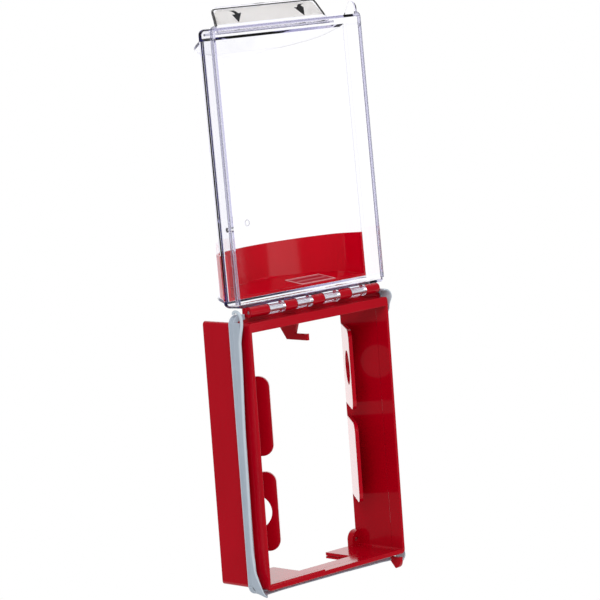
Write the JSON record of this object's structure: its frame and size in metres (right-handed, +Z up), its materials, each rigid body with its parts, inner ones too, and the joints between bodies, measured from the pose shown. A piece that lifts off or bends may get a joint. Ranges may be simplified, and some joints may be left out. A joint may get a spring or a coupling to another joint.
{
  "type": "call point protective cover",
  "caption": "Red wall frame with a hinged clear domed cover, shown lifted, that guards a manual call point or switch against knocks, weather and misuse.",
  "frame": {"origin": "centre of the four wall screw holes, on the wall plane at the back of the box", "axes": "+Z up, -Y out of the wall towards the room, +X to the right as seen from the room"},
  "size_m": [0.1724, 0.069, 0.4785],
  "materials": {
    "red_plastic": "glossy moulded",
    "grey_rubber": "satin",
    "pin_steel": "drawn wire",
    "clear_plastic": "clear, polished",
    "label_film": "printed film",
    "sticker_paper": "bare label"
  },
  "bodies": {
    "frame": {"back_box": "red_plastic", "front_frame": "red_plastic", "edge_gasket": "grey_rubber", "hinge_pin": "pin_steel"},
    "cover": {"clear_cover": "clear_plastic", "label_hood": "red_plastic", "lift_label": "label_film", "hood_sticker": "sticker_paper"}
  },
  "joints": [
    {"name": "cover_hinge", "type": "hinge", "parent": "frame", "child": "cover", "pos_m": [0, -0.0454, 0.1155], "axis": [1, 0, 0], "range_deg": [0, 181.6]}
  ]
}
